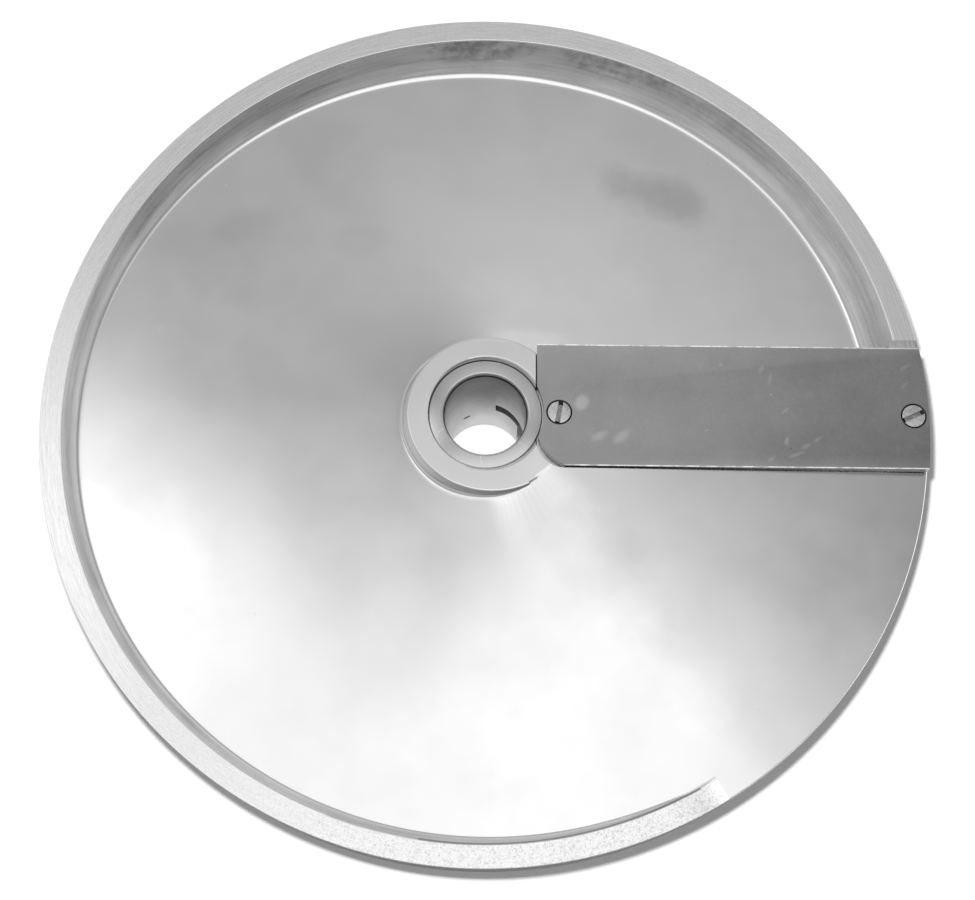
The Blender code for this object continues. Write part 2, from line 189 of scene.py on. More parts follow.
for x, y, inner, outer, strength in (
    (0.056, -0.04, 0.23, 0.33, 0.79),
    (-0.26, 0.237, 0.0, 0.183, 1.63),
    (0.057, 0.318, 0.0, 0.248, 0.33),
):
    panels = calculate(tree, "ADD", panels, soft_panel(x, y, inner, outer, strength))
tree.links.new(calculate(tree, "ADD", room, panels), background.inputs["Color"])


# The disc casting: one aluminium casting, its ramp polished, its rim top, hub seat and
# blade seat machined. It carries every other piece.

disc_radius = 102.5 * mm
rim_width = 5.4 * mm
slice_depth = 7.6 * mm
plate_thickness = 3.2 * mm
rim_height = slice_depth + plate_thickness + 0.2 * mm
wall_slope = 1.15
least_wall_width = 0.35 * mm
cove_power = 1.85
cove_stations = 17
cove_crowding = 1.3
rim_dish = 0.1 * mm
edge_break = 0.3 * mm
sector_edge_break = 0.22 * mm
ridge_turn = 59.0
ramp_levels = (
    (ridge_turn, 0.0),
    (75.0, 1.2 * mm),
    (100.0, 1.7 * mm),
    (180.0, 3.6 * mm),
    (290.0, slice_depth),
)
sector_fall = 0.0255
seat_radius = 13.22 * mm
bush_recess = 1.25 * mm
seat_flare = 0.5 * mm
core_shift = 0.45 * mm
boss_radius = 18.6 * mm
boss_draft = 1.1 * mm
boss_full_depth = 1.8 * mm
boss_foot_fillet = 0.9 * mm
hub_radius = 20.5 * mm
hub_taper = 3.0 * mm
hub_fillet = 2.5 * mm
skirt_fillet = 1.5 * mm
skirt_break = 0.3 * mm
tube_break = 0.6 * mm
guard_row = 0.4 * mm
column_step = 0.5


def ramp_depth(turn):
    """How far the ramp lies under the rim plane at this turn."""
    turns = [point[0] for point in ramp_levels]
    depths = [point[1] for point in ramp_levels]
    spans = [after - before for before, after in zip(turns, turns[1:])]
    chords = [(depths[i + 1] - depths[i]) / spans[i] for i in range(len(spans))]
    slopes = [chords[0] * 1.5]
    for before, after in zip(chords, chords[1:]):
        slopes.append(2.0 * before * after / (before + after))
    slopes.append(0.0)
    for i, span in enumerate(spans):
        if turn <= turns[i + 1]:
            t = max(0.0, turn - turns[i]) / span
            return (
                depths[i] * (1 + 2 * t) * (1 - t) ** 2
                + slopes[i] * span * t * (1 - t) ** 2
                + depths[i + 1] * t * t * (3 - 2 * t)
                + slopes[i + 1] * span * t * t * (t - 1)
            )
    return depths[-1]


def cast_level(radius, turn):
    """Height of the plate over the rim plane: the ramp, or the flat sector behind the blade."""
    if turn >= ridge_turn:
        return -ramp_depth(turn)
    outer = -sector_fall * disc_radius * math.sin(math.radians(ridge_turn - turn))
    return outer * (radius - boss_radius) / (disc_radius - boss_radius)


ridge_rounding = 19.0 * mm
widest_rounding = 38.0


def plate_level(radius, turn):
    """Height of the plate with the ridge between sector and ramp polished round."""
    widest = min(widest_rounding, math.degrees(ridge_rounding / radius))
    nearness = max(0.0, 1.0 - ((turn - ridge_turn) / (2 * widest)) ** 2) ** 2
    if nearness == 0.0:
        return cast_level(radius, turn)
    reach = widest * nearness
    total = weights = 0.0
    for i in range(1, 20):
        weight = math.sin(math.pi * i / 20) ** 2
        total += weight * cast_level(radius, turn + reach * (i / 10 - 1))
        weights += weight
    return total / weights


def rounded(start, corner, end, steps):
    """Points of a rounded corner from start to end."""
    points = []
    for i in range(steps + 1):
        t = i / steps
        points.append(tuple(
            (1 - t) ** 2 * a + 2 * t * (1 - t) * b + t * t * c for a, b, c in zip(start, corner, end)
        ))
    return points


blade_top = 0.7 * mm
blade_thickness = 2.2 * mm
blade_lead = 16.7 * mm
blade_trail = 12.8 * mm
fit_gap = 0.3 * mm
seat_floor = blade_top - blade_thickness - fit_gap
notch_edge = blade_lead + 2.2 * mm
pad_turn = math.degrees(math.asin((blade_trail - 1.4 * mm) / disc_radius))
pad_inner_radius = disc_radius - 14.5 * mm
pad_rise = 0.5 * mm
rim_run_in = 5.0
cove_run_in = 0.15 * mm
ramp_end = 360.0 - math.degrees(math.asin(notch_edge / disc_radius))


def casting_section(turn):
    """The casting's cut face at this turn, in named stretches of (radius, level) points."""
    ramp = ridge_turn <= turn <= ramp_end
    if turn > ramp_end:
        turn -= 360.0
    wall_top = disc_radius - rim_width
    depth = -plate_level(wall_top, turn) if ramp else 0.0
    hub_depth = -plate_level(boss_radius, turn) if ramp else 0.0
    shift = core_shift * math.cos(math.radians(turn))
    seat_top = seat_radius + seat_flare + shift
    boss_foot = boss_radius + boss_draft + shift
    boss_edge = boss_foot - boss_draft * max(0.2, min(1.0, hub_depth / boss_full_depth))
    foot = min(boss_foot_fillet, 0.4 * hub_depth)
    soft = min(0.25 * mm, 0.3 * hub_depth)
    wall_width = max(depth / wall_slope, least_wall_width) + (cove_run_in if ramp else 0.0)
    wall_foot = wall_top - wall_width
    run_in = min(1.0, (turn - ridge_turn) / rim_run_in) if ramp else 0.0
    rim_level = plate_level(wall_top, ridge_turn) * (1 - run_in * run_in * (3 - 2 * run_in))
    dish = rim_dish * run_in
    lip = min(edge_break, max(0.0, depth + rim_level - dish))
    outer_break = 0.5 * edge_break if ramp else sector_edge_break

    def level(radius):
        if turn < pad_turn and radius > pad_inner_radius:
            return seat_floor + pad_rise
        return plate_level(radius, turn)

    hub_under = plate_level(hub_radius, turn) - plate_thickness
    skirt_under = plate_level(wall_top, turn) - plate_thickness
    stretches = {}
    stretches["seat"] = [(seat_radius, z) for z in (-rim_plane, -26 * mm, -13 * mm, -2.2 * mm, -1.7 * mm)]
    stretches["flare"] = rounded(
        (seat_radius, -bush_recess), (seat_radius + 0.08 * mm, -0.12 * mm), (seat_top, 0.0), 10)
    stretches["boss"] = [
        (seat_top + 0.3 * mm, 0.0),
        (seat_top + 0.8 * mm, 0.0),
        (boss_edge - 0.9 * mm, 0.0),
        (boss_edge - guard_row, 0.0),
    ]
    if ramp:
        wall_line = (boss_foot - boss_edge) / max(hub_depth, 0.01 * mm)
        stretches["boss edge"] = rounded(
            (boss_edge - soft, 0.0), (boss_edge, 0.0), (boss_edge + soft * wall_line, -soft), 4)
        stretches["boss foot"] = rounded(
            (boss_foot - foot * wall_line, foot - hub_depth), (boss_foot, -hub_depth),
            (boss_foot + foot, -hub_depth), 6)
    else:
        radii = [boss_edge + (boss_foot - boss_edge) * i / 12 for i in range(12)]
        levels = [(r, level(r)) for r in radii]
        stretches["boss edge"] = levels[:5]
        stretches["boss foot"] = levels[5:]
    inner = stretches["boss foot"][-1][0]
    shares = (0.01, 0.03, 0.15, 0.35, 0.6, 0.85, 0.97, 0.99)
    radii = [inner + (wall_foot - inner) * share for share in shares]
    stretches["plate"] = [(r, level(r)) for r in radii]
    cove = []
    for i in range(cove_stations):
        share = (i / cove_stations) ** cove_crowding
        radius = wall_foot + share * wall_width
        rise = max(0.0, depth + rim_level - dish - lip) * share ** cove_power if ramp else 0.0
        cove.append((radius, level(radius) + rise))
    stretches["cove"] = cove
    if ramp:
        stretches["lip"] = rounded(
            (wall_top, rim_level - dish - lip), (wall_top + 0.05 * mm, rim_level - dish),
            (wall_top + edge_break, rim_level - dish), 4)
    else:
        stretches["lip"] = [(r, level(r)) for r in (wall_top + edge_break * i / 4 for i in range(5))]
    rim = [wall_top + 0.5 * mm, wall_top + 0.9 * mm, disc_radius - 1.9 * mm, disc_radius - 1.3 * mm]
    stretches["rim"] = [
        (r, rim_level - dish * (disc_radius - r) / rim_width if ramp else level(r)) for r in rim]
    edge_level = rim_level if ramp else level(disc_radius)
    stretches["outer break"] = rounded(
        (disc_radius - outer_break, edge_level), (disc_radius - 0.1 * mm, edge_level - 0.1 * mm),
        (disc_radius, edge_level - outer_break), 4)
    stretches["skirt"] = [
        (disc_radius, edge_level - outer_break - guard_row),
        (disc_radius, skirt_break + guard_row - rim_height),
    ] + rounded((disc_radius, skirt_break - rim_height), (disc_radius, -rim_height),
                (disc_radius - skirt_break, -rim_height), 3)
    stretches["rim underside"] = [(wall_top + skirt_break, -rim_height)]
    inner_skirt_top = max(skirt_under - skirt_fillet, 0.15 * mm - rim_height)
    stretches["inner skirt"] = [(wall_top, inner_skirt_top)]
    corner_drop = skirt_under - inner_skirt_top
    stretches["underside"] = rounded(
        (wall_top, skirt_under - corner_drop * 0.98), (wall_top, skirt_under),
        (wall_top - skirt_fillet, skirt_under), 4)
    mid = (wall_top - skirt_fillet + hub_radius + hub_fillet) / 2
    stretches["underside"] += [
        (wall_top - skirt_fillet - 0.5 * mm, skirt_under),
        (mid, (skirt_under + hub_under) / 2),
        (hub_radius + hub_fillet + 0.5 * mm, hub_under),
    ]
    stretches["underside"] += rounded(
        (hub_radius + hub_fillet, hub_under), (hub_radius, hub_under),
        (hub_radius, hub_under - hub_fillet), 5)
    end_radius = hub_radius - hub_taper
    stretches["tube"] = [
        (hub_radius - 0.1 * mm, hub_under - hub_fillet - 0.6 * mm),
        (hub_radius - hub_taper * 0.5, -24.0 * mm),
        (end_radius + 0.1 * mm, 2 * tube_break - rim_plane),
    ] + rounded((end_radius, tube_break - rim_plane), (end_radius, -rim_plane),
                (end_radius - tube_break, -rim_plane), 3)
    return stretches


smooth_below = math.radians(32)
clear = 5 * mm
near = 0.01 * mm


def link_mesh(name, bm):
    """A smooth object from this bmesh, with sharp edges kept sharp."""
    bmesh.ops.recalc_face_normals(bm, faces=bm.faces)
    mesh = bpy.data.meshes.new(name)
    bm.to_mesh(mesh)
    bm.free()
    mesh.shade_smooth()
    mesh.set_sharp_from_angle(angle=smooth_below)
    made = bpy.data.objects.new(name, mesh)
    bpy.context.scene.collection.objects.link(made)
    return made


def cut(target, cutter):
    """Takes the cutter's volume out of the target and removes the cutter."""
    modifier = target.modifiers.new("cut", "BOOLEAN")
    modifier.operation = "DIFFERENCE"
    modifier.solver = "EXACT"
    modifier.object = cutter
    graph = bpy.context.evaluated_depsgraph_get()
    machined = bpy.data.meshes.new_from_object(target.evaluated_get(graph))
    machined.set_sharp_from_angle(angle=smooth_below)
    target.modifiers.clear()
    target.data = machined
    bpy.data.objects.remove(cutter, do_unlink=True)


def block(name, corners, carried):
    """A solid made by carrying the face with these corners along."""
    bm = bmesh.new()
    face = bm.faces.new([bm.verts.new(corner) for corner in corners])
    drawn = bmesh.ops.extrude_face_region(bm, geom=[face])
    ends = [item for item in drawn["geom"] if isinstance(item, bmesh.types.BMVert)]
    bmesh.ops.translate(bm, verts=ends, vec=carried)
    return link_mesh(name, bm)


def prism(name, outline, low, high):
    """A block of this outline in plan, from low to high."""
    return block(name, [(x, y, low) for x, y in outline], (0.0, 0.0, high - low))


def turned_solid(name, profile, steps, at=0.0, ring=False):
    """This (radius, height) profile turned about an upright axis at this X; a ring's is closed."""
    bm = bmesh.new()
    verts = [bm.verts.new((radius, 0.0, z)) for radius, z in profile]
    after = verts[1:] + verts[:1] if ring else verts[1:]
    edges = [bm.edges.new(pair) for pair in zip(verts, after)]
    bmesh.ops.spin(bm, geom=verts + edges, axis=(0.0, 0.0, 1.0), cent=(0.0, 0.0, 0.0),
                   angle=math.tau, steps=steps, use_merge=True)
    if not ring:
        bmesh.ops.remove_doubles(bm, verts=bm.verts, dist=0.001 * mm)
    bmesh.ops.translate(bm, verts=bm.verts, vec=(at, 0.0, 0.0))
    return link_mesh(name, bm)


def arc(centre, radius, start, end, steps):
    """Points of an arc in plan, with its angles in degrees anticlockwise from +X."""
    angles = [math.radians(start + (end - start) * i / steps) for i in range(steps + 1)]
    return [(centre[0] + radius * math.cos(a), centre[1] + radius * math.sin(a)) for a in angles]


first = casting_section(ridge_turn)
polished_finish, wall_finish, rim_finish, cast_finish, seat_finish, dirt_and_shade_finish, skirt_finish = range(7)
finish_of = {
    "plate": polished_finish, "boss": polished_finish, "boss edge": polished_finish,
    "boss foot": polished_finish, "cove": wall_finish, "lip": polished_finish,
    "rim": rim_finish, "outer break": rim_finish, "skirt": skirt_finish,
    "rim underside": cast_finish, "inner skirt": cast_finish, "underside": cast_finish,
    "tube": cast_finish, "seat": seat_finish, "flare": seat_finish,
}
polished_cove_stations = 6
finishes = [polished_finish if name == "cove" and i < polished_cove_stations else finish_of[name]
            for name, points in first.items() for i in range(len(points))]
stretch_names = [name for name, points in first.items() for i in range(len(points))]
# Turns where the rim's inner lip gets painted shade.
shaded_lip_from, shaded_lip_fades, shaded_lip_to = ridge_turn + 2.0, 98.0, 110.0
bm = bmesh.new()
station = bm.verts.layers.int.new("station")
profile = []
for number, (radius, z) in enumerate(point for points in first.values() for point in points):
    vert = bm.verts.new((radius, 0.0, z))
    vert[station] = number
    profile.append(vert)
edges = [bm.edges.new((a, b)) for a, b in zip(profile, profile[1:] + profile[:1])]
bmesh.ops.spin(bm, geom=profile + edges, axis=(0.0, 0.0, 1.0), cent=(0.0, 0.0, 0.0),
               angle=math.tau, steps=int(360 / column_step), use_merge=True)
kept_turns = (ridge_turn, ramp_end, ramp_end + 0.4, pad_turn - 0.4, pad_turn)
sections = {}
for vert in bm.verts:
    column = round(math.degrees(-math.atan2(vert.co.y, vert.co.x)) % 360.0 / column_step)
    turn = column * column_step % 360.0
    if turn not in sections:
        exact = [t for t in kept_turns if abs(t - turn) <= column_step / 2]
        true_turn = exact[0] if exact else turn
        points = [point for points in casting_section(true_turn).values() for point in points]
        sections[turn] = (math.radians(-true_turn), points)
    angle, points = sections[turn]
    radius, level = points[vert[station]]
    vert.co = (radius * math.cos(angle), radius * math.sin(angle), rim_plane + level)
for face in bm.faces:
    numbers = sorted(vert[station] for vert in face.verts)
    number = numbers[0] if numbers[-1] - numbers[0] < 5 else numbers[-1]
    finish = finishes[number]
    centre = face.calc_center_median()
    turn = math.degrees(-math.atan2(centre.y, centre.x)) % 360.0
    if finish in (wall_finish, rim_finish) and turn < ridge_turn - 0.3:
        finish = polished_finish
    # Past the ridge the lip takes the darker skirt material, then the cove wall's: painted shade along this
    # stretch of the rim's inner edge.
    if stretch_names[number] == "lip" and shaded_lip_from < turn < shaded_lip_to:
        finish = skirt_finish if turn < shaded_lip_fades else wall_finish
    face.material_index = finish
casting = link_mesh("casting_body", bm)

pocket_corner = 6.7 * mm
pocket_inner = 11.6 * mm
pocket_trail = -blade_trail - fit_gap
outline = [(pocket_inner, notch_edge)]
outline += arc((pocket_inner + pocket_corner, pocket_trail + pocket_corner), pocket_corner, 180.0, 270.0, 32)
outline += [(disc_radius + clear, pocket_trail), (disc_radius + clear, notch_edge)]
cut(casting, prism("pocket cutter", outline, rim_plane + seat_floor, rim_plane + clear))

slot_inner, slot_outer = hub_radius + 2.0 * mm, disc_radius - 11.5 * mm
slot_bed, slot_plate = 4.0 * mm, 18.0 * mm
slot_low = rim_plane - rim_height - clear
drop = rim_plane + seat_floor - slot_low
corners = ((slot_plate, rim_plane + clear), (slot_plate, slot_low), (slot_bed - drop, slot_low),
           (slot_bed, rim_plane + seat_floor), (slot_bed, rim_plane + clear))
cut(casting, block("slot cutter", [(slot_inner, y, z) for y, z in corners],
                   (slot_outer - slot_inner, 0.0, 0.0)))

inner_screw_radius = 17.0 * mm
outer_screw_radius = disc_radius - 3.7 * mm
screw_shank_radius = 1.5 * mm
screw_length = 9.5 * mm
hole_end = rim_plane + blade_top - screw_length - fit_gap
hole_sides = 48
last_corner = 360.0 - 360.0 / hole_sides
for screw_radius in (inner_screw_radius, outer_screw_radius):
    hole = arc((screw_radius, 0.0), screw_shank_radius + fit_gap, 0.0, last_corner, hole_sides - 1)
    cut(casting, prism("screw hole cutter", hole, hole_end, rim_plane + clear))


def noise(tree, place, scale, detail, roughness=0.5):
    """The values of a noise texture at this place."""
    inputs = {"Vector": place, "Scale": scale, "Detail": detail, "Roughness": roughness}
    return add_node(tree, "ShaderNodeTexNoise", inputs).outputs["Fac"]


def spread(tree, values, low, high):
    """A change from low to high over the range that noise values fill."""
    return fade(tree, values, 0.3, 0.7, low, high)


def new_group(name, inputs, outputs):
    """A shader node group with these sockets, its input node and its output node."""
    group = bpy.data.node_groups.new(name, "ShaderNodeTree")
    for label, kind in inputs:
        group.interface.new_socket(name=label, in_out="INPUT", socket_type=kind)
    for label in outputs:
        group.interface.new_socket(name=label, in_out="OUTPUT", socket_type="NodeSocketFloat")
    return group, group.nodes.new("NodeGroupInput"), group.nodes.new("NodeGroupOutput")


vector, number = "NodeSocketVector", "NodeSocketFloat"

turned_marks, given, result = new_group(
    "turned marks", (("Position", vector), ("Lines per Metre", number), ("Breaks", number)), ("Height",))
flat = vector_math(turned_marks, "MULTIPLY", given.outputs["Position"], (1.0, 1.0, 0.0)).outputs[0]
from_axis = vector_math(turned_marks, "LENGTH", flat).outputs["Value"]
round_way = vector_math(turned_marks, "NORMALIZE", flat).outputs[0]
round_parts = add_node(turned_marks, "ShaderNodeSeparateXYZ", {0: round_way})
height_part = add_node(turned_marks, "ShaderNodeSeparateXYZ", {0: given.outputs["Position"]}).outputs["Z"]
across = calculate(turned_marks, "ADD", from_axis, height_part)
marks_at = add_node(turned_marks, "ShaderNodeCombineXYZ", {
    "X": calculate(turned_marks, "MULTIPLY", round_parts.outputs["X"], given.outputs["Breaks"]),
    "Y": calculate(turned_marks, "MULTIPLY", round_parts.outputs["Y"], given.outputs["Breaks"]),
    "Z": calculate(turned_marks, "MULTIPLY", across, given.outputs["Lines per Metre"]),
}).outputs[0]
turned_marks.links.new(noise(turned_marks, marks_at, 1.0, 3.0, 0.6), result.inputs["Height"])

clouding, given, result = new_group(
    "clouding", (("Position", vector), ("Patches per Metre", number), ("Low", number), ("High", number)),
    ("Value",))
clouds = noise(clouding, given.outputs["Position"], given.outputs["Patches per Metre"], 4.0, 0.55)
clouds = spread(clouding, clouds, given.outputs["Low"], given.outputs["High"])
clouding.links.new(clouds, result.inputs["Value"])

scratches, given, result = new_group(
    "scratches", (("Position", vector), ("Scratches per Metre", number), ("Rarity", number)), ("Mask",))
found = None
for scratch_turn in (0.35, 1.3, 2.4):
    turned_at = add_node(scratches, "ShaderNodeMapping", {
        "Vector": given.outputs["Position"], "Rotation": (0.0, 0.0, scratch_turn)}).outputs[0]
    drawn_out = vector_math(scratches, "MULTIPLY", turned_at, (1.0, 3.5, 1.0)).outputs[0]
    stroke = noise(scratches, drawn_out, given.outputs["Scratches per Metre"], 2.0)
    edge = calculate(scratches, "ADD", given.outputs["Rarity"], 0.07)
    stroke = fade(scratches, stroke, given.outputs["Rarity"], edge)
    found = stroke if found is None else calculate(scratches, "MAXIMUM", found, stroke)
scratches.links.new(found, result.inputs["Mask"])


def bare_metal(name, roughness_about):
    """A bare metal material: its tree, its shader and its Object coordinates."""
    made = bpy.data.materials.new(name)
    made.use_nodes = True
    tree = made.node_tree
    shader = tree.nodes["Principled BSDF"]
    shader.inputs["Metallic"].default_value = 1.0
    shader.inputs["Roughness"].default_value = roughness_about
    return made, tree, shader, add_node(tree, "ShaderNodeTexCoord").outputs["Object"]


def effect(tree, group, **inputs):
    """One of the shared node groups placed in this tree, and its only output."""
    placed = add_node(tree, "ShaderNodeGroup", node_tree=group)
    for label, value in inputs.items():
        socket = placed.inputs[label.replace("_", " ")]
        if isinstance(value, bpy.types.NodeSocket):
            tree.links.new(value, socket)
        else:
            socket.default_value = value
    return placed.outputs[0]


def grey(tree, shader, value):
    """Links one number as a neutral base colour."""
    colour = add_node(tree, "ShaderNodeCombineColor", {"Red": value, "Green": value, "Blue": value})
    tree.links.new(colour.outputs[0], shader.inputs["Base Color"])


def rough(tree, shader, value):
    """Links one number as the roughness of this metal."""
    tree.links.new(value, shader.inputs["Roughness"])


def raised(tree, shader, height, distance):
    """Links a height as the bump of this metal."""
    bump = add_node(tree, "ShaderNodeBump", {"Height": height, "Strength": 1.0, "Distance": distance})
    tree.links.new(bump.outputs["Normal"], shader.inputs["Normal"])


def lathe_turned(tree, shader, share):
    """Spreads the highlight across the circular marks of a face turned about the axis."""
    shader.inputs["Anisotropic"].default_value = share
    shader.inputs["Anisotropic Rotation"].default_value = 0.25
    around = add_node(tree, "ShaderNodeTangent", direction_type="RADIAL", axis="Z")
    tree.links.new(around.outputs[0], shader.inputs["Tangent"])


def stain(tree, place, centre, reach, turn, strength):
    """A soft dull patch with a broken edge, as the share of light that it takes away."""
    local = add_node(tree, "ShaderNodeMapping", {
        "Vector": place, "Location": (*centre, 0.0), "Rotation": (0.0, 0.0, math.radians(turn)),
        "Scale": (*reach, 1.0)}, vector_type="TEXTURE").outputs[0]
    out = vector_math(tree, "LENGTH", local).outputs["Value"]
    ragged = effect(tree, clouding, Position=place, Patches_per_Metre=90.0, Low=-0.2, High=0.2)
    return fade(tree, calculate(tree, "ADD", out, ragged), 0.3, 1.25, strength, 0.0)


polished, tree, shader, place = bare_metal("polished casting", 0.18)
clouds = effect(tree, clouding, Position=place, Patches_per_Metre=32.0, Low=0.86, High=0.93)
dull = stain(tree, place, (0.0415, 0.0590), (0.0145, 0.0065), -22.0, 0.22)
for centre, reach, turn, strength in (
    ((-0.060, 0.048), (0.0085, 0.0045), 15.0, 0.05),
    ((-0.031, 0.045), (0.0085, 0.0055), -10.0, 0.05),
    ((0.008, 0.0205), (0.0125, 0.0035), 5.0, -0.15),
    ((0.0285, -0.0375), (0.0225, 0.0105), -50.0, 0.09),
):
    dull = calculate(tree, "ADD", dull, stain(tree, place, centre, reach, turn, strength))
grey(tree, shader, calculate(tree, "MULTIPLY", clouds, calculate(tree, "SUBTRACT", 1.0, dull)))
haze = effect(tree, clouding, Position=place, Patches_per_Metre=55.0, Low=0.165, High=0.21)
lines = effect(tree, scratches, Position=place, Scratches_per_Metre=330.0, Rarity=0.76)
lines = calculate(tree, "MULTIPLY", lines, 0.1)
rough(tree, shader, calculate(tree, "ADD", haze, lines))
swell = noise(tree, place, 40.0, 0.0)
raised(tree, shader, swell, 0.1 * mm)

wall, tree, shader, place = bare_metal("cove wall", 0.32)
streaks = effect(tree, turned_marks, Position=place, Lines_per_Metre=900.0, Breaks=5.0)
soil = effect(tree, clouding, Position=place, Patches_per_Metre=60.0, Low=-0.07, High=0.05)
chatter = effect(tree, clouding, Position=place, Patches_per_Metre=420.0, Low=0.3, High=1.6)
for centre, turn, strength in (
    ((-0.0017, 0.0965), 1.0, 0.26), ((0.0298, 0.0918), -18.0, 0.21), ((0.0542, 0.0798), -34.0, 0.1),
):
    torn = stain(tree, place, centre, (0.019, 0.0025), turn, strength)
    soil = calculate(tree, "SUBTRACT", soil, calculate(tree, "MULTIPLY", torn, chatter))
grey(tree, shader, calculate(tree, "ADD", spread(tree, streaks, 0.74, 0.92), soil))
rough(tree, shader, fade(tree, streaks, 0.25, 0.75, 0.24, 0.42))
fine = effect(tree, turned_marks, Position=place, Lines_per_Metre=2600.0, Breaks=9.0)
raised(tree, shader, fine, 0.03 * mm)

faced_rim, tree, shader, place = bare_metal("machined rim", 0.32)
lathe_turned(tree, shader, 0.4)
fine = effect(tree, turned_marks, Position=place, Lines_per_Metre=3500.0, Breaks=14.0)
specks = noise(tree, place, 1700.0, 5.0, 0.75)
start_turn = math.radians(ridge_turn)
along_way = (-math.sin(start_turn), -math.cos(start_turn), 0.0)
outward_way = (math.cos(start_turn), -math.sin(start_turn), 0.0)
along = vector_math(tree, "DOT_PRODUCT", place, along_way).outputs["Value"]
outward = vector_math(tree, "DOT_PRODUCT", place, outward_way).outputs["Value"]
torn = spread(tree, specks, -3.0 * mm, 3.0 * mm)
begun = fade(tree, calculate(tree, "ADD", along, torn), 0.5 * mm, 6.0 * mm)
begun = calculate(tree, "MAXIMUM", begun, fade(tree, outward, -10.0 * mm, 0.0, 1.0, 0.0))
torn_start = fade(tree, outward, 40.0 * mm, 88.0 * mm, 0.12, 1.0)
pits = calculate(tree, "MULTIPLY", fade(tree, specks, 0.44, 0.75, 0.0, 0.42), begun)
pits = calculate(tree, "MULTIPLY", pits, torn_start)
grey(tree, shader, calculate(tree, "SUBTRACT", spread(tree, fine, 0.96, 0.99), pits))
turned_roughness = spread(tree, fine, 0.22, 0.29)
roughness = add_node(tree, "ShaderNodeMix", {"Factor": begun, "A": 0.19, "B": turned_roughness})
rough(tree, shader, roughness.outputs["Result"])
raised(tree, shader, fine, 0.02 * mm)

as_cast, tree, shader, place = bare_metal("cast underside", 0.5)
shader.inputs["Specular Tint"].default_value = (0.25, 0.25, 0.25, 1.0)
grains = noise(tree, place, 700.0, 4.0)
patches = effect(tree, clouding, Position=place, Patches_per_Metre=40.0, Low=-0.05, High=0.05)
grey(tree, shader, calculate(tree, "ADD", spread(tree, grains, 0.55, 0.66), patches))
rough(tree, shader, spread(tree, grains, 0.44, 0.58))
raised(tree, shader, grains, 0.12 * mm)

faced_seat, tree, shader, place = bare_metal("machined seat", 0.3)
fine = effect(tree, turned_marks, Position=place, Lines_per_Metre=3000.0, Breaks=3.0)
grey(tree, shader, spread(tree, fine, 0.76, 0.88))
rough(tree, shader, spread(tree, fine, 0.24, 0.36))
raised(tree, shader, fine, 0.02 * mm)

# Dark material for the gaps round the blade, the bush's channel roofs and mouth, the countersinks and the
# screw slots: dirt, and painted shade where these gaps and overhangs lie in shade.
dirt_and_shade, tree, shader, place = bare_metal("dirt and painted shade in gaps", 0.55)
shader.inputs["Specular Tint"].default_value = (0.2, 0.2, 0.2, 1.0)
dirt_and_shade_tone = effect(tree, clouding, Position=place, Patches_per_Metre=400.0, Low=0.06, High=0.16)
grey(tree, shader, dirt_and_shade_tone)
rough(tree, shader, effect(tree, clouding, Position=place, Patches_per_Metre=600.0, Low=0.5, High=0.65))

# The skirt's low base colour and weak edge tint are painted shade along the disc's lower edge next to the
# floor.
skirt_painted_shade, tree, shader, place = bare_metal("turned skirt with painted shade", 0.24)
shader.inputs["Specular Tint"].default_value = (0.05, 0.05, 0.05, 1.0)
fine = effect(tree, turned_marks, Position=place, Lines_per_Metre=2600.0, Breaks=2.0)
soil = effect(tree, clouding, Position=place, Patches_per_Metre=50.0, Low=-0.03, High=0.03)
grey(tree, shader, calculate(tree, "ADD", spread(tree, fine, 0.4, 0.5), soil))
rough(tree, shader, spread(tree, fine, 0.2, 0.3))
raised(tree, shader, fine, 0.004 * mm)

for made in (polished, wall, faced_rim, as_cast, faced_seat, dirt_and_shade, skirt_painted_shade):
    casting.data.materials.append(made)
bm = bmesh.new()
bm.from_mesh(casting.data)
bmesh.ops.dissolve_degenerate(bm, dist=0.0005 * mm, edges=bm.edges)
floor_faces = []
for face in bm.faces:
    x, y, z = face.calc_center_median()
    on_floor = abs(z - rim_plane - seat_floor) < near and face.normal.z > 0.9
    if on_floor and x > pocket_inner and pocket_trail < y < notch_edge:
        floor_faces.append(face)
floor_edges = list({edge for face in floor_faces for edge in face.edges})
floor_verts = list({vert for face in floor_faces for vert in face.verts})
bmesh.ops.bisect_plane(bm, geom=floor_verts + floor_edges + floor_faces,
                       plane_co=(pocket_inner + fit_gap, 0.0, 0.0), plane_no=(1.0, 0.0, 0.0))
for face in bm.faces:
    x, y, z = face.calc_center_median()
    in_plan = x > pocket_inner - near and pocket_trail - near < y < notch_edge + near
    if not in_plan or not seat_floor - near < z - rim_plane < -0.2 * mm:
        continue
    # The floor strip beside the blade and the seat's inner and trailing walls take the dark material:
    # painted shade in the gap round the blade, with dirt.
    if face.normal.z > 0.9 and abs(z - rim_plane - seat_floor) < near:
        face.material_index = dirt_and_shade_finish if x < pocket_inner + fit_gap else seat_finish
    elif abs(x - pocket_inner) < near or abs(y - pocket_trail) < near:
        face.material_index = dirt_and_shade_finish
bm.to_mesh(casting.data)
bm.free()
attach(casting, "root")
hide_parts("disc_casting")


# The hub bush: a turned steel sleeve pressed into the hub. Its bore takes the drive shaft,
# and two bayonet channels milled in the bore lock on the shaft's cross pin.

bush_radius = 13.1 * mm
bore_radius = 9.5 * mm
bore_chamfer = 0.6 * mm
bush_edge = 0.25 * mm
bush_sides = 192
bush_top = rim_plane - bush_recess
channel_depth = 2.0 * mm
channel_top = 17.0 * mm
channel_height = 4.2 * mm
entry_angles = (14.0, 32.0)
run_angles = (14.0, 74.0)
detent_angles = (113.0, 123.0)
detent_low, detent_high = 8.9 * mm, 9.9 * mm

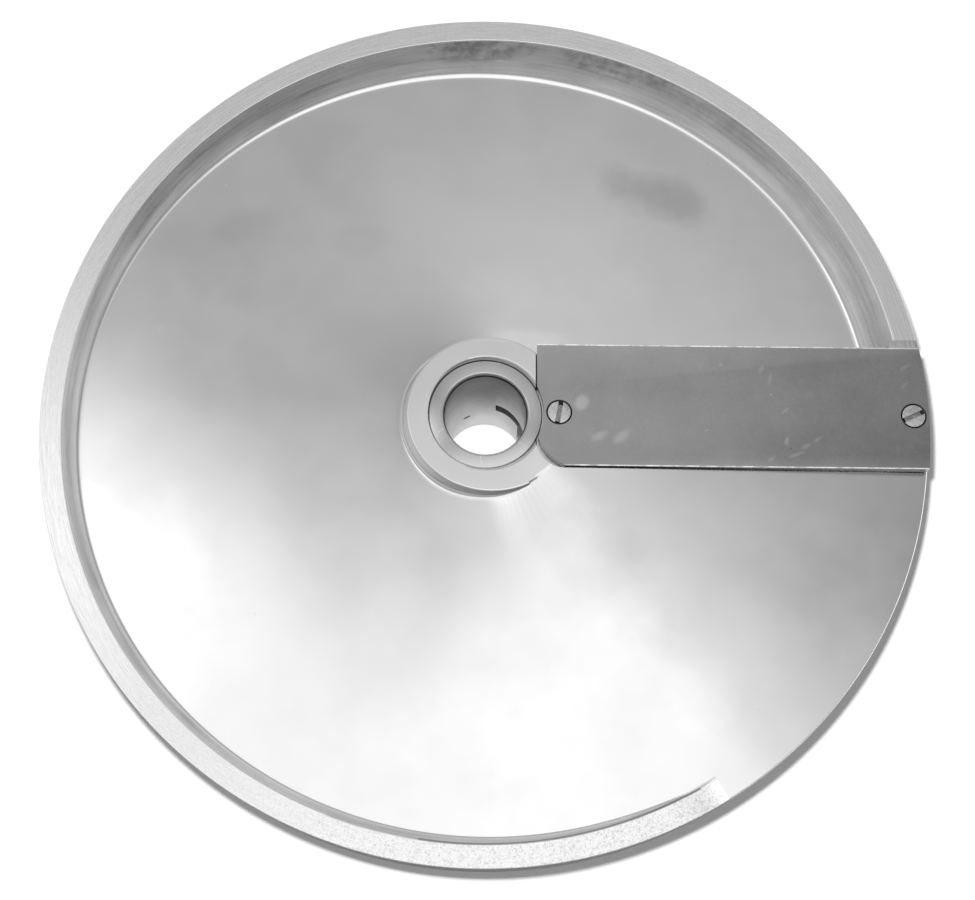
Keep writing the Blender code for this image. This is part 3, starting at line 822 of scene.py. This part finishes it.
profile = [(bore_radius, bore_chamfer), (bore_radius + bore_chamfer, 0.0), (bush_radius - bush_edge, 0.0)]
profile += [(bush_radius, bush_edge)]
profile += rounded((bush_radius, bush_top - bush_edge), (bush_radius, bush_top),
                   (bush_radius - bush_edge, bush_top), 4)
profile += [(bore_radius + bore_chamfer + bush_edge, bush_top)]
profile += rounded((bore_radius + bore_chamfer, bush_top), (bore_radius + 0.5 * bore_chamfer, bush_top),
                   (bore_radius + 0.3 * bore_chamfer, bush_top - bore_chamfer), 4)
profile += [(bore_radius, bush_top - 2 * bore_chamfer)]
bush = turned_solid("bush_body", profile, bush_sides, ring=True)


def bore_wall_cutter(name, angles, low, high, reach):
    """A block that takes a channel out of the bore wall between these angles and heights."""
    outline = arc((0.0, 0.0), bore_radius + reach, angles[0], angles[1], 24)
    outline += arc((0.0, 0.0), bore_radius - reach, angles[1], angles[0], 24)
    return prism(name, outline, low, high)


channel_low, channel_middle = channel_top - channel_height, channel_top - 0.5 * channel_height
for side in (0.0, 180.0):
    run = (run_angles[0] + side, run_angles[1] + side)
    entry = (entry_angles[0] + side, entry_angles[1] + side)
    cut(bush, bore_wall_cutter("run cutter", run, channel_low, channel_top, channel_depth))
    cut(bush, bore_wall_cutter("entry cutter", entry, -clear, channel_middle, channel_depth))
cut(bush, bore_wall_cutter("detent cutter", detent_angles, detent_low, detent_high, 0.8 * mm))

turned_steel, tree, shader, place = bare_metal("turned steel", 0.27)
lathe_turned(tree, shader, 1.0)
fine = effect(tree, turned_marks, Position=place, Lines_per_Metre=4200.0, Breaks=1.5)
nicks = effect(tree, scratches, Position=place, Scratches_per_Metre=260.0, Rarity=0.7)
tone = spread(tree, fine, 0.64, 0.67)
grey(tree, shader, calculate(tree, "ADD", tone, calculate(tree, "MULTIPLY", nicks, 0.15)))
rough(tree, shader, spread(tree, fine, 0.14, 0.155))
raised(tree, shader, fine, 0.0003 * mm)

bored_steel, tree, shader, place = bare_metal("bored steel", 0.42)
shader.inputs["Specular Tint"].default_value = (0.8, 0.8, 0.8, 1.0)
fine = effect(tree, turned_marks, Position=place, Lines_per_Metre=1500.0, Breaks=2.0)
grease = effect(tree, clouding, Position=place, Patches_per_Metre=110.0, Low=-0.05, High=0.05)
grey(tree, shader, calculate(tree, "ADD", spread(tree, fine, 0.64, 0.74), grease))
rough(tree, shader, spread(tree, fine, 0.4, 0.5))
raised(tree, shader, fine, 0.03 * mm)

for made in (turned_steel, bored_steel, dirt_and_shade):
    bush.data.materials.append(made)
turned_finish, bored_finish, dirt_and_shade_index = range(3)
for polygon in bush.data.polygons:
    out = math.hypot(polygon.center.x, polygon.center.y)
    inside = out < bore_radius + 0.9 * bore_chamfer
    deep = out > bore_radius + 0.2 * mm
    in_wall = deep and out < bush_radius - bush_edge
    low = polygon.center.z < channel_top + 0.1 * mm
    in_channel = low and abs(polygon.normal.z) > 0.3
    mouth = inside and not deep and polygon.center.z > bush_top - 2.1 * bore_chamfer
    # Channel roofs facing down and the bore's mouth take the dark material: painted shade under the
    # overhangs and in the mouth, with dirt.
    if (in_wall and in_channel and polygon.normal.z < 0.0) or mouth:
        polygon.material_index = dirt_and_shade_index
    elif inside or in_channel or (in_wall and low):
        polygon.material_index = bored_finish
    else:
        polygon.material_index = turned_finish
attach(bush, "root")
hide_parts("hub_bush")


# The slicing blade: a flat bar of ground steel, bevelled below its cutting edge and
# countersunk for its screws. It lies in its seat from the bush to the rim.

blade_bush_gap = 0.35 * mm
blade_inner_end = bush_radius - 1.2 * mm
blade_outer_radius = disc_radius - 0.1 * mm
corner_start = 6.0 * mm
corner_length = 6.5 * mm
corner_radius = 11.0 * mm
cutting_bevel = 5.0 * mm
cutting_edge_height = 0.3 * mm
blade_edge_break = 0.12 * mm
screw_head_radius = 2.7 * mm
screw_head_height = 1.35 * mm
screw_sink = 0.05 * mm
screw_sides = 64

bush_side = bush_radius + blade_bush_gap
meet = math.degrees(math.acos(blade_inner_end / bush_side))
arc_end = math.degrees(math.asin(corner_start / bush_side))
outline = [(blade_inner_end, blade_lead)]
outline += arc((0.0, 0.0), bush_side, meet, -arc_end, 32)
corner_from = Vector(outline[-1])
corner_to = Vector((blade_inner_end + corner_length, -blade_trail))
chord = corner_to - corner_from
rise = math.sqrt(corner_radius ** 2 - chord.length_squared / 4)
centre = (corner_from + corner_to) / 2 + Vector((-chord.y, chord.x)).normalized() * rise
corner_angle = math.degrees(math.atan2(corner_from.y - centre.y, corner_from.x - centre.x))
sweep = math.degrees(2 * math.asin(chord.length / 2 / corner_radius))
outline += arc(centre, corner_radius, corner_angle, corner_angle + sweep, 20)[1:]
outer_low = math.degrees(math.asin(-blade_trail / blade_outer_radius))
outer_high = math.degrees(math.asin(blade_lead / blade_outer_radius))
outline += arc((0.0, 0.0), blade_outer_radius, outer_low, outer_high, 32)
blade_high = rim_plane + blade_top
blade_low = blade_high - blade_thickness
blade = prism("blade_body", outline, blade_low, blade_high)

bevel_from = blade_lead - cutting_bevel
bevel_slope = (blade_thickness - cutting_edge_height) / cutting_bevel
far = blade_lead + clear
corners = ((bevel_from, blade_low), (far, blade_low + bevel_slope * (far - bevel_from)),
           (far, blade_low - clear), (bevel_from, blade_low - clear))
cut(blade, block("bevel cutter", [(0.0, y, z) for y, z in corners], (disc_radius + clear, 0.0, 0.0)))

hole_profile = ((0.0, blade_high + clear), (screw_head_radius + fit_gap, blade_high + clear),
                (screw_head_radius + fit_gap, blade_high - screw_sink),
                (screw_shank_radius + fit_gap, blade_high - screw_sink - screw_head_height),
                (screw_shank_radius + fit_gap, blade_low - clear), (0.0, blade_low - clear))
for screw_radius in (inner_screw_radius, outer_screw_radius):
    cut(blade, turned_solid("countersink cutter", hole_profile, screw_sides, at=screw_radius))

nick_places = ((24.0, 0.35), (33.5, 0.22), (41.0, 0.3), (52.5, 0.2), (60.0, 0.32), (71.0, 0.25), (83.0, 0.3))
bm = bmesh.new()
for along, size in nick_places:
    notch = bmesh.ops.create_cone(bm, cap_ends=True, segments=5, radius1=size * mm,
                                  radius2=0.4 * size * mm, depth=1.2 * mm)
    bmesh.ops.translate(bm, verts=notch["verts"], vec=(along * mm, blade_lead, blade_high))
cut(blade, link_mesh("nick cutter", bm))

burr_width, burr_height = 0.28 * mm, 0.035 * mm
worn_width, worn_drop = 0.3 * mm, 0.04 * mm
bm = bmesh.new()
bm.from_mesh(blade.data)
for strip_side in (blade_lead - burr_width, worn_width - blade_trail):
    bmesh.ops.bisect_plane(bm, geom=bm.verts[:] + bm.edges[:] + bm.faces[:],
                           plane_co=(0.0, strip_side, 0.0), plane_no=(0.0, 1.0, 0.0))
touching = 0.02 * mm
for vert in bm.verts:
    if vert.co.z > blade_high - touching and vert.co.y > blade_lead - touching:
        vert.co.z += burr_height
    if vert.co.z > blade_high - touching and vert.co.y < touching - blade_trail:
        vert.co.z -= worn_drop
ground_finish, edge_wear_and_highlight_finish, countersink_dirt_and_shade = range(3)
# Faces on top along both long edges take the lighter edge material, partly a painted highlight.
for face in bm.faces:
    x, y, z = face.calc_center_median()
    on_edge = y > blade_lead - burr_width or y < worn_width - blade_trail
    face.material_index = edge_wear_and_highlight_finish if on_edge and face.normal.z > 0.9 else ground_finish
    from_screws = min(math.hypot(x - at, y) for at in (inner_screw_radius, outer_screw_radius))
    in_countersink = from_screws < screw_head_radius + fit_gap and z < blade_high - touching
    # Countersink faces take the dark material: painted shade in the ring round each screw head, with dirt.
    if in_countersink and face.normal.z > 0.3:
        face.material_index = countersink_dirt_and_shade
bm.to_mesh(blade.data)
bm.free()

edge_finish = blade.modifiers.new("edge break", "BEVEL")
edge_finish.width = blade_edge_break
edge_finish.segments = 2
edge_finish.limit_method = "ANGLE"
edge_finish.angle_limit = math.radians(40)
edge_finish.harden_normals = True

ground_steel, tree, shader, place = bare_metal("ground steel", 0.28)
grain = noise(tree, place, 900.0, 2.0)
wear = effect(tree, clouding, Position=place, Patches_per_Metre=70.0, Low=-0.02, High=0.03)
rubbed = effect(tree, scratches, Position=place, Scratches_per_Metre=130.0, Rarity=0.64)
worked = effect(tree, clouding, Position=place, Patches_per_Metre=34.0, Low=-0.5, High=0.75)
worked = calculate(tree, "ADD", worked, 0.0, clamp=True)
bright = calculate(tree, "MULTIPLY", calculate(tree, "MULTIPLY", rubbed, worked), 0.1)
for centre, reach, turn, strength in (
    ((0.0222, 0.0024), (0.0016, 0.0022), -25.0, -0.45),
    ((0.0263, -0.0056), (0.0022, 0.0012), 30.0, -0.3),
    ((0.0312, -0.0058), (0.0030, 0.0014), 40.0, -0.3),
    ((0.0692, -0.0064), (0.0012, 0.0006), 75.0, -0.35),
    ((0.0736, -0.0076), (0.0016, 0.0006), 30.0, -0.3),
    ((0.0763, -0.0060), (0.0016, 0.0005), 35.0, -0.3),
    ((0.0715, -0.0096), (0.0022, 0.0005), 20.0, -0.28),
    ((0.0655, -0.0107), (0.0012, 0.0005), 40.0, -0.25),
    ((0.0659, 0.0086), (0.0015, 0.0004), 80.0, -0.2),
    ((0.0661, 0.0048), (0.0004, 0.0004), 0.0, -0.35),
    ((0.0640, 0.0110), (0.0010, 0.0006), 60.0, -0.2),
    ((0.0692, 0.0010), (0.0013, 0.0004), 40.0, -0.25),
    ((0.0750, 0.0049), (0.0018, 0.0011), 20.0, -0.1),
    ((0.0546, 0.0120), (0.0004, 0.0004), 0.0, -0.3),
    ((0.0509, -0.0040), (0.0008, 0.0003), 10.0, -0.25),
    ((0.0700, -0.0082), (0.0002, 0.0002), 0.0, 0.6),
):
    stroke = calculate(tree, "MULTIPLY", stain(tree, place, centre, reach, turn, strength), 0.4)
    bright = calculate(tree, "SUBTRACT", bright, stroke)
place_parts = add_node(tree, "ShaderNodeSeparateXYZ", {0: place})
outer_part = place_parts.outputs["X"]
# The blade's tone gets darker towards its outer end, and more so towards its trailing side.
tone = calculate(tree, "ADD", spread(tree, grain, 0.405, 0.417), wear)
tone = calculate(tree, "SUBTRACT", tone, fade(tree, outer_part, 40.0 * mm, 100.0 * mm, 0.0, 0.05))
trailing = fade(tree, place_parts.outputs["Y"], -10.0 * mm, 2.0 * mm, 1.0, 0.0)
outer_trailing_darkening = fade(tree, outer_part, 45.0 * mm, 95.0 * mm, 0.0, 0.065)
tone = calculate(tree, "SUBTRACT", tone, calculate(tree, "MULTIPLY", outer_trailing_darkening, trailing))
grey(tree, shader, calculate(tree, "ADD", tone, bright))
rough(tree, shader, spread(tree, grain, 0.27, 0.29))
raised(tree, shader, wear, 0.002 * mm)

# The edge strips are lighter than the blade: edge wear, and a painted highlight along the cutting and
# trailing edges.
worn_edge_and_highlight, tree, shader, place = bare_metal("worn blade edge, painted highlight", 0.25)
wear = noise(tree, place, 420.0, 3.0)
grey(tree, shader, fade(tree, wear, 0.35, 0.6, 0.6, 0.9))
rough(tree, shader, spread(tree, wear, 0.35, 0.2))
for made in (ground_steel, worn_edge_and_highlight, dirt_and_shade):
    blade.data.materials.append(made)
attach(blade, "root")
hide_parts("slicing_blade")


# The blade screws: two slotted countersunk steel screws, turned, their slots sawn. They
# hold the blade down at its two ends.

slot_width = 1.1 * mm
slot_depth = 0.8 * mm
head_edge = 0.15 * mm
shank_break = 0.3 * mm
screw_top = blade_high - screw_sink
screw_end = blade_high - screw_length

screw_steel, tree, shader, place = bare_metal("screw steel", 0.3)
mottle = noise(tree, place, 1400.0, 3.0)
rubbed = effect(tree, scratches, Position=place, Scratches_per_Metre=420.0, Rarity=0.64)
tone = spread(tree, mottle, 0.62, 0.78)
grey(tree, shader, calculate(tree, "ADD", tone, calculate(tree, "MULTIPLY", rubbed, 0.15)))
rough(tree, shader, spread(tree, mottle, 0.26, 0.4))
raised(tree, shader, mottle, 0.01 * mm)

# The slot floor's lower tone is dirt and painted shade in the recess of the slot.
slot_dirt_and_shade, tree, shader, place = bare_metal("slot floor, dirt and painted shade", 0.5)
shader.inputs["Specular Tint"].default_value = (0.3, 0.3, 0.3, 1.0)
soil = noise(tree, place, 1600.0, 3.0)
grey(tree, shader, spread(tree, soil, 0.3, 0.6))
rough(tree, shader, spread(tree, soil, 0.42, 0.6))

slot_floor_finish, dirt_and_shade_index = 1, 2
for name, screw_radius, slot_angle in (("inner_blade_screw", inner_screw_radius, 80.0),
                                       ("outer_blade_screw", outer_screw_radius, 25.0)):
    profile = [(0.0, screw_top)]
    profile += rounded((screw_head_radius - head_edge, screw_top), (screw_head_radius, screw_top),
                       (screw_head_radius, screw_top - head_edge), 4)
    profile += [(screw_shank_radius, screw_top - screw_head_height),
                (screw_shank_radius, screw_end + shank_break), (screw_shank_radius - shank_break, screw_end),
                (0.0, screw_end)]
    screw = turned_solid(name + "_body", profile, screw_sides, at=screw_radius)
    bm = bmesh.new()
    bmesh.ops.create_cube(bm, size=1.0)
    bmesh.ops.scale(bm, verts=bm.verts, vec=(4 * screw_head_radius, slot_width, 2 * slot_depth))
    bmesh.ops.rotate(bm, verts=bm.verts, cent=(0.0, 0.0, 0.0),
                     matrix=Matrix.Rotation(math.radians(slot_angle), 3, "Z"))
    bmesh.ops.translate(bm, verts=bm.verts, vec=(screw_radius, 0.0, screw_top))
    cut(screw, link_mesh("driver slot cutter", bm))
    for made in (screw_steel, slot_dirt_and_shade, dirt_and_shade):
        screw.data.materials.append(made)
    for polygon in screw.data.polygons:
        out = math.hypot(polygon.center.x - screw_radius, polygon.center.y)
        in_slot = screw_top - 1.1 * slot_depth < polygon.center.z < screw_top - 0.1 * mm
        # Slot floors take the slot material; slot walls and the head's rim take the dark material: painted
        # shade in the slot and in the gap round the head, with dirt.
        if in_slot and out < screw_head_radius - 0.2 * mm:
            polygon.material_index = slot_floor_finish if polygon.normal.z > 0.9 else dirt_and_shade_index
        elif out > screw_head_radius - 0.1 * mm:
            polygon.material_index = dirt_and_shade_index
    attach(screw, "root")
    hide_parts(name)
